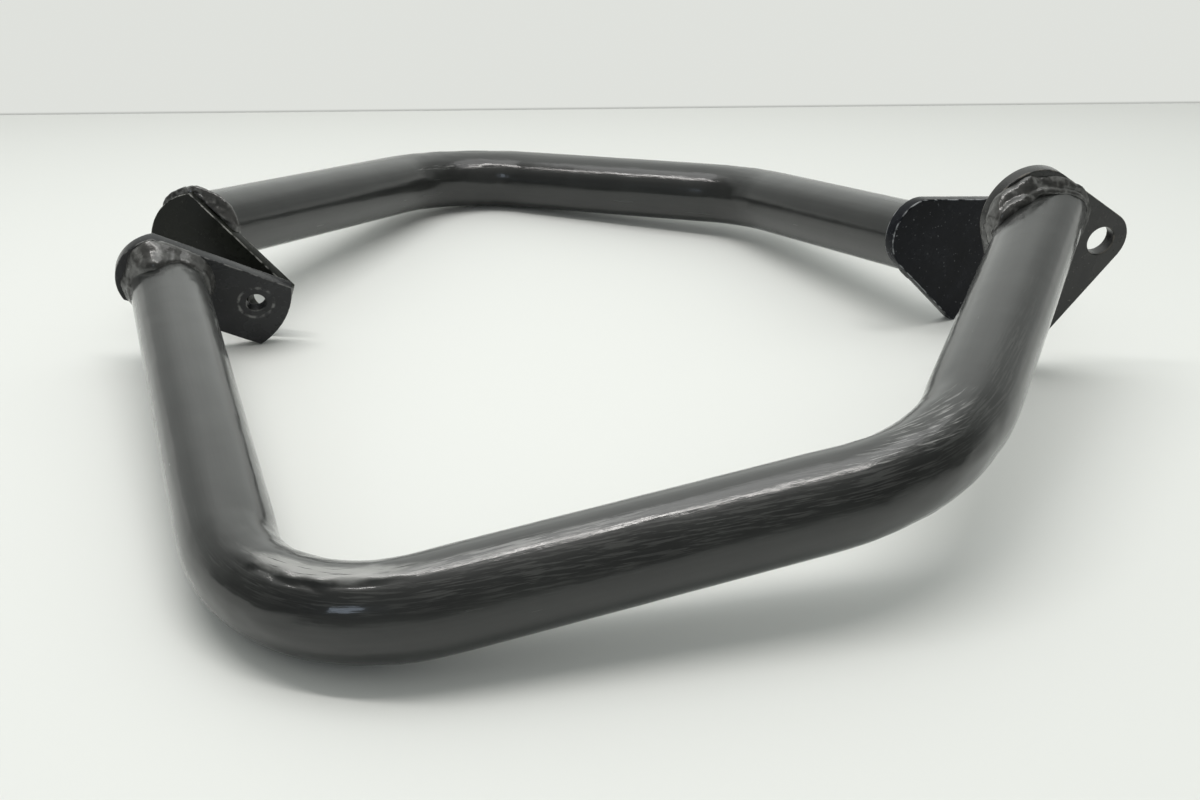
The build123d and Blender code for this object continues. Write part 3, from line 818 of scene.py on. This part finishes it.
# Light: a pale room that is bright at the back and dim towards the viewer and at its sides, a wide soft lamp
# overhead with a long lamp along its front edge, and a small window far off on the left.
world = bpy.data.worlds.new("room")
bpy.context.scene.world = world
world.use_nodes = True
t = world.node_tree
way = add(t, "ShaderNodeTexCoord").outputs["Generated"]
to_back = vector(t, "DOT_PRODUCT", way, (0.0, 1.0, 0.0))
to_side = number(t, "ABSOLUTE", vector(t, "DOT_PRODUCT", way, (1.0, 0.0, 0.0)))
fill = ramp(t, to_back, -0.1, 0.25, 0.5, 1.0)
mirrored = number(t, "MULTIPLY", ramp(t, to_back, -0.1, 0.25, 0.2, 1.05),
                  ramp(t, to_side, 0.3, 0.75, 1.0, 0.5))
path = add(t, "ShaderNodeLightPath").outputs
bright = add(t, "ShaderNodeMix", {0: path["Is Glossy Ray"], 2: fill, 3: mirrored}).outputs[0]
bright = add(t, "ShaderNodeMix", {0: path["Is Camera Ray"], 2: bright, 3: 0.8}).outputs[0]
t.links.new(bright, t.nodes["Background"].inputs["Strength"])
t.nodes["Background"].inputs["Color"].default_value = (0.97, 1.0, 0.96, 1)


def hang_lamp(name, size, middle, turn, radiance, colour):
    """Flat lamp of even brightness, turned by three angles in degrees."""
    lamp = bpy.data.lights.new(name, "AREA")
    lamp.shape = "RECTANGLE"
    lamp.size, lamp.size_y = size
    lamp.energy = radiance * pi * size[0] * size[1]
    lamp.color = colour
    lamp_place = bpy.data.objects.new(name, lamp)
    lamp_place.location = middle
    lamp_place.rotation_euler = [radians(angle) for angle in turn]
    bpy.context.scene.collection.objects.link(lamp_place)


hang_lamp("soft_lamp", size=(1.0, 0.45), middle=(0.003, 0.164, 0.97), turn=(0, 0, -12),
          radiance=1.85, colour=(1.0, 1.0, 1.0))
hang_lamp("long_lamp", size=(1.05, 0.06), middle=(-0.148, -0.064, 0.96), turn=(0, 0, -12),
          radiance=21.0, colour=(1.0, 0.97, 0.94))
hang_lamp("window_lamp", size=(0.56, 0.44), middle=(-1.26, -2.13, 1.24), turn=(61, 0, -31.5),
          radiance=3.1, colour=(0.72, 0.84, 1.0))


# Camera: a little over half a metre in front of the pair, looking down on it, at a plain lens and with
# everything sharp.
look_down = 26.253
camera = bpy.data.cameras.new("camera")
camera.sensor_width = 36.0
camera.lens = 40.52
camera_place = bpy.data.objects.new("camera", camera)
camera_place.location = (-0.00690, -0.57552, 0.26231)
camera_place.rotation_euler = (radians(90 - look_down), 0, 0)
bpy.context.scene.collection.objects.link(camera_place)
bpy.context.scene.camera = camera_place
bpy.context.scene.view_settings.view_transform = "Standard"
